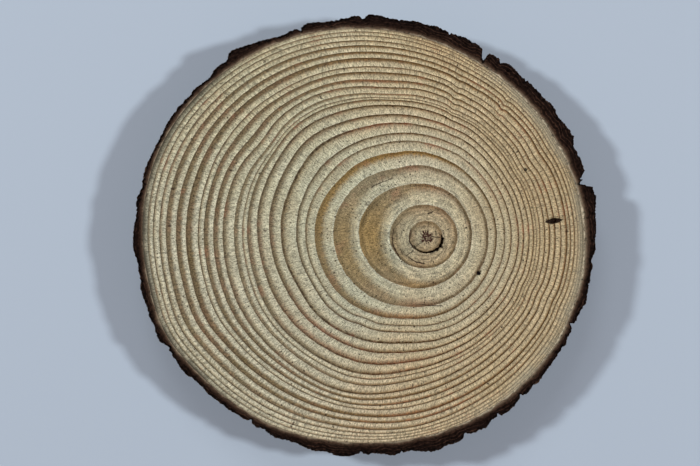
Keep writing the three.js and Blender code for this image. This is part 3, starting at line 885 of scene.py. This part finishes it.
def bark_group(settings):
    """Tone of bark: tan next to the wood, then brown plies, a black rim, and brown scales outside with
    painted shade deep between them.
    """
    graph, inputs, end = new_group(
        "Bark", [("Depth", "f"), ("Rim", "f"), ("Cut", "f"), ("Scale", "f"), ("Position", "v")],
        [("Color", "c"), ("Height", "f")],
    )
    place = graph.scaled(inputs["Position"], 1 / MM)
    fine = graph.noise(place, 1.5, 4.0, 0.75)
    speck = graph.minus(fine, 0.5)
    wander = graph.minus(graph.noise(place, 0.3, 3.0), 0.5)
    depth = graph.math("ADD", graph.math("MULTIPLY_ADD", speck, 0.9, inputs["Depth"]), wander)
    east = graph.add("ShaderNodeSeparateXYZ", {0: place}).outputs[0]
    depth = graph.math("ADD", depth, graph.step(east, 0.0, 46.0, 0.22, -0.20))
    cut = graph.ramp(graph.math("DIVIDE", depth, 2.6), SAWN_BARK)
    plies = graph.math("MULTIPLY_ADD", inputs["Depth"], 1.35, graph.times(wander, 3.5))
    seam = graph.step(graph.math("PINGPONG", plies, 0.5), 0.30, 0.48)
    warm = graph.step(graph.noise(place, 0.09, 2.0), 0.42, 0.60, 0.25, 0.65)
    cut = graph.blend(graph.times(seam, warm), cut, solid(settings.seam_colour))
    rim = graph.math("MULTIPLY_ADD", speck, 1.6, inputs["Rim"])
    cut = graph.blend(graph.step(rim, 0.75, 0.15), cut, solid(settings.rim_colour))
    cut = graph.toned(cut, graph.math("MAXIMUM", graph.math("MULTIPLY_ADD", speck, 5.5, 1.1), 0.12))
    skin = graph.ramp(graph.noise(place, 0.35, 4.0, 0.65), BARK_SKIN)
    # painted shade: the skin turns near black where it lies deep below the outermost scales, in the fissures
    # between the plates
    skin = graph.blend(graph.step(inputs["Scale"], 0.35, 0.8), skin, (0.010, 0.006, 0.005, 1))
    skin = graph.blend(graph.step(fine, 0.55, 0.75, 0.0, 0.30), skin, solid(settings.dust_colour))
    graph.join(graph.blend(inputs["Cut"], skin, cut), end.inputs["Color"])
    height = graph.times(seam, graph.times(inputs["Cut"], 0.5))
    graph.join(graph.math("ADD", height, fine), end.inputs["Height"])


def bark_material():
    """Thin, dark pine bark."""
    material, graph, shader = new_material("Pine bark", roughness=0.9, specular=0.02)
    bark = use_group(graph, "Bark", {
        "Depth": graph.attribute("layer"), "Rim": graph.attribute("rim"), "Cut": graph.attribute("cut"),
        "Scale": graph.attribute("scale"), "Position": graph.add("ShaderNodeTexCoord").outputs["Object"],
    })
    graph.join(bark["Color"], shader.inputs["Base Color"])
    bump = graph.add("ShaderNodeBump", {"Height": bark["Height"], "Strength": 0.7, "Distance": 0.0003})
    graph.join(bump.outputs[0], shader.inputs["Normal"])
    return material


def floor_material(settings):
    """One even, pale colour."""
    material, graph, shader = new_material("Pale floor", roughness=0.9, specular=0.1)
    graph.join(solid(settings.floor_colour), shader.inputs["Base Color"])
    return material


# Lamps: name, direction from the slice, share of the lamp power, width in metres.
LAMPS = [
    ("lamp_left", (-1.095, 0.33, 1.0), 1.01, 0.12), ("lamp_right", (1.06, 0.04, 1.0), 0.99, 0.12),
    ("lamp_back", (-0.2, 1.1, 1.0), 0.24, 0.4),
]


class WoodSettings(bpy.types.PropertyGroup):
    thickness: bpy.props.FloatProperty(
        name="Thickness", description="Sawn thickness of the wood", default=0.01, unit="LENGTH"
    )
    sectors: bpy.props.IntProperty(
        name="Sectors", description="Facets round the wood", default=420, min=3
    )
    shake_depth: bpy.props.FloatProperty(
        name="Crescent depth", description="Depth of the crescent gap along the first ring",
        default=0.0026, unit="LENGTH",
    )
    hollow_distance: bpy.props.FloatProperty(
        name="Hollow distance", description="From the pith to the overgrown twig's hollow",
        default=0.0279, unit="LENGTH",
    )
    hollow_direction: bpy.props.FloatProperty(
        name="Hollow direction", description="Where the twig's hollow lies round the pith",
        default=math.radians(7.6), subtype="ANGLE",
    )
    early_colour: bpy.props.FloatVectorProperty(
        name="Early wood", description="The pale early wood", default=(0.46, 0.43, 0.30), subtype="COLOR"
    )
    late_colour: bpy.props.FloatVectorProperty(
        name="Late wood", description="The brown late wood", default=(0.162, 0.120, 0.066), subtype="COLOR"
    )
    amber_colour: bpy.props.FloatVectorProperty(
        name="Reaction wood", description="The amber rings round the centre",
        default=(0.27, 0.165, 0.055), subtype="COLOR",
    )
    resin_colour: bpy.props.FloatVectorProperty(
        name="Resin stains", description="The reddish stains", default=(0.31, 0.125, 0.075), subtype="COLOR"
    )
    heart_colour: bpy.props.FloatVectorProperty(
        name="Heart", description="Washed over the first two rings",
        default=(0.33, 0.235, 0.125), subtype="COLOR",
    )
    pith_colour: bpy.props.FloatVectorProperty(
        name="Pith", description="The star in the centre", default=(0.055, 0.022, 0.016), subtype="COLOR"
    )
    canal_colour: bpy.props.FloatVectorProperty(
        name="Resin canals", description="The tiny dots", default=(0.040, 0.024, 0.014), subtype="COLOR"
    )
    mark_colour: bpy.props.FloatVectorProperty(
        name="Marks", description="The thin cracks and dashes",
        default=(0.034, 0.017, 0.011), subtype="COLOR",
    )
    # painted shade inside the twig's hollow
    hollow_shade_colour: bpy.props.FloatVectorProperty(
        name="Hollow", description="The twig's hollow", default=(0.022, 0.010, 0.007), subtype="COLOR"
    )


class BarkSettings(bpy.types.PropertyGroup):
    thickness: bpy.props.FloatProperty(
        name="Thickness", description="Sawn thickness of the bark", default=0.01, unit="LENGTH"
    )
    sectors: bpy.props.IntProperty(
        name="Sectors", description="Facets round the bark", default=1440, min=3
    )
    wall_loops: bpy.props.IntProperty(
        name="Wall loops", description="Loops up the outer wall", default=34, min=1
    )
    cut_loops: bpy.props.IntProperty(
        name="Cut loops", description="Loops across the sawn face", default=14, min=1
    )
    seam_colour: bpy.props.FloatVectorProperty(
        name="Seams", description="The seams between the plies",
        default=(0.056, 0.027, 0.017), subtype="COLOR",
    )
    rim_colour: bpy.props.FloatVectorProperty(
        name="Rim", description="The sawn face's outer rim",
        default=(0.0030, 0.0022, 0.0022), subtype="COLOR",
    )
    dust_colour: bpy.props.FloatVectorProperty(
        name="Dust", description="The pale flecks on the scales",
        default=(0.15, 0.115, 0.09), subtype="COLOR",
    )


class StageSettings(bpy.types.PropertyGroup):
    lens: bpy.props.FloatProperty(
        name="Lens", description="Focal length", default=85.0, unit="CAMERA"
    )
    camera_place: bpy.props.FloatVectorProperty(
        name="Camera place", description="Where the camera hangs, from the pith's foot",
        default=(-0.01641, 0.00108, 0.367), unit="LENGTH",
    )
    lamp_power: bpy.props.FloatProperty(
        name="Lamp power", description="Power of a full lamp", default=6.25, unit="POWER"
    )
    lamp_distance: bpy.props.FloatProperty(
        name="Lamp distance", description="How far the lamps stand from the slice",
        default=1.0, unit="LENGTH",
    )
    lamp_colour: bpy.props.FloatVectorProperty(
        name="Lamp colour", description="Colour of the lamps", default=(0.93, 1.0, 1.0), subtype="COLOR"
    )
    fill: bpy.props.FloatProperty(
        name="Fill", description="Brightness of the room's light", default=0.10
    )
    fill_colour: bpy.props.FloatVectorProperty(
        name="Fill colour", description="Colour of the room's light",
        default=(1.45, 1.0, 1.0), subtype="COLOR",
    )
    floor_colour: bpy.props.FloatVectorProperty(
        name="Floor", description="Colour of the floor", default=(0.425, 0.477, 0.566), subtype="COLOR"
    )


class SLICE_OT_wood(bpy.types.Operator):
    """Build the sawn wood"""

    bl_idname = "slice.wood"
    bl_label = "Build the wood"

    def execute(self, context):
        settings = context.scene.slice_wood
        for make in (polar_group, rays_group, mark_group, dashes_group, pores_group):
            make()
        growth_group(settings)
        finished(wood_mesh(settings), "wood_slice", "wood", wood_material(settings))
        return {"FINISHED"}


class SLICE_OT_bark(bpy.types.Operator):
    """Build the bark round the wood"""

    bl_idname = "slice.bark"
    bl_label = "Build the bark"

    def execute(self, context):
        settings = context.scene.slice_bark
        bark_group(settings)
        finished(bark_mesh(settings), "bark_ring", "bark", bark_material())
        return {"FINISHED"}


class SLICE_OT_stage(bpy.types.Operator):
    """Build the floor, the lamps and the camera"""

    bl_idname = "slice.stage"
    bl_label = "Build the stage"

    def execute(self, context):
        scene, settings = context.scene, context.scene.slice_stage
        bm = bmesh.new()
        bmesh.ops.create_grid(bm, x_segments=1, y_segments=1, size=FLOOR_SIZE)
        mesh = bpy.data.meshes.new("floor")
        bm.to_mesh(mesh)
        bm.free()
        mesh.materials.append(floor_material(settings))
        floor = bpy.data.objects.new("floor", mesh)
        floor.location.z = FLOOR_LEVEL
        scene.collection.objects.link(floor)
        for name, direction, share, width in LAMPS:
            data = bpy.data.lights.new(name, "AREA")
            data.shape = "DISK"
            data.size = width
            data.energy = share * settings.lamp_power
            data.color = settings.lamp_colour
            lamp = bpy.data.objects.new(name, data)
            lamp.location = Vector(direction).normalized() * settings.lamp_distance
            lamp.rotation_euler = (-lamp.location).to_track_quat("-Z", "Y").to_euler()
            scene.collection.objects.link(lamp)
        world = bpy.data.worlds.new("room")
        world.use_nodes = True
        light = world.node_tree.nodes["Background"]
        light.inputs["Color"].default_value = solid(settings.fill_colour)
        light.inputs["Strength"].default_value = settings.fill
        scene.world = world
        camera = bpy.data.objects.new("camera", bpy.data.cameras.new("camera"))
        camera.data.lens = settings.lens
        camera.data.clip_start = CLIP_START
        camera.location = PITH * MM + Vector(settings.camera_place)
        scene.collection.objects.link(camera)
        scene.camera = camera
        scene.view_settings.view_transform = "Standard"
        return {"FINISHED"}


class SLICE_PT_panel(bpy.types.Panel):
    bl_label = "Wood slice"
    bl_idname = "SLICE_PT_panel"
    bl_space_type = "VIEW_3D"
    bl_region_type = "UI"
    bl_category = "Wood slice"

    def draw(self, context):
        for owner, operator in (("slice_wood", "wood"), ("slice_bark", "bark"), ("slice_stage", "stage")):
            box = self.layout.box()
            group = getattr(context.scene, owner)
            for name in group.__annotations__:
                box.prop(group, name)
            box.operator(f"slice.{operator}")


CLASSES = (
    WoodSettings, BarkSettings, StageSettings, SLICE_OT_wood, SLICE_OT_bark, SLICE_OT_stage, SLICE_PT_panel
)
GROUPS = {"slice_wood": WoodSettings, "slice_bark": BarkSettings, "slice_stage": StageSettings}


def register():
    for cls in CLASSES:
        bpy.utils.register_class(cls)
    for name, cls in GROUPS.items():
        setattr(bpy.types.Scene, name, bpy.props.PointerProperty(type=cls))


def unregister():
    for name in GROUPS:
        delattr(bpy.types.Scene, name)
    for cls in reversed(CLASSES):
        bpy.utils.unregister_class(cls)


def main():
    register()
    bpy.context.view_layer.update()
    bpy.ops.slice.wood()
    bpy.ops.slice.bark()
    bpy.ops.slice.stage()


if __name__ == "__main__":
    main()
